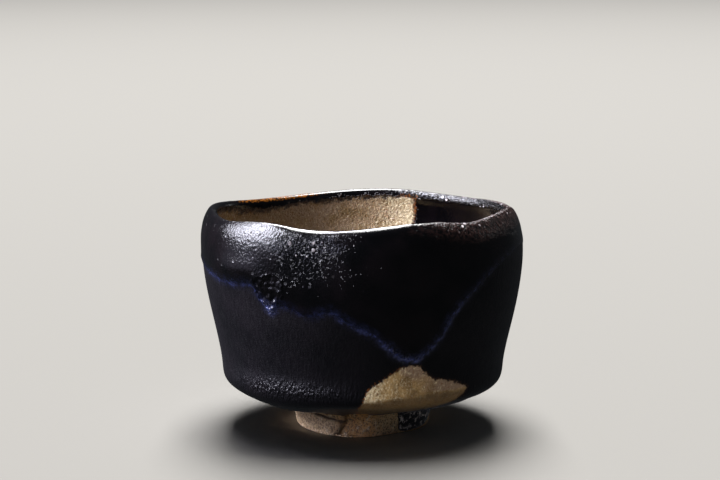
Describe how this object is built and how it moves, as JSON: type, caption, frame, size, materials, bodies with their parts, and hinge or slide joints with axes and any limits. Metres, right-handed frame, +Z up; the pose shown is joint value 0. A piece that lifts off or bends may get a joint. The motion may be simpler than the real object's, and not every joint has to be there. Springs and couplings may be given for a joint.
{
  "type": "tea bowl",
  "caption": "Hand-formed black-glazed stoneware tea bowl with a wavy thick lip, a waisted wall, buff clay windows and a low cut foot ring",
  "frame": {"origin": "on the table, under the middle of the bowl's widest outline", "axes": "+Z up along the bowl's axis, +X along its slightly longer width, -Y towards the side with the large clay window"},
  "size_m": [0.1232, 0.1198, 0.0855],
  "materials": {
    "glazed_stoneware": "thick glossy black glaze over satin black glaze, with buff windows and a bare clay foot"
  },
  "bodies": {
    "root": {"tea_bowl": "glazed_stoneware"}
  },
  "joints": []
}
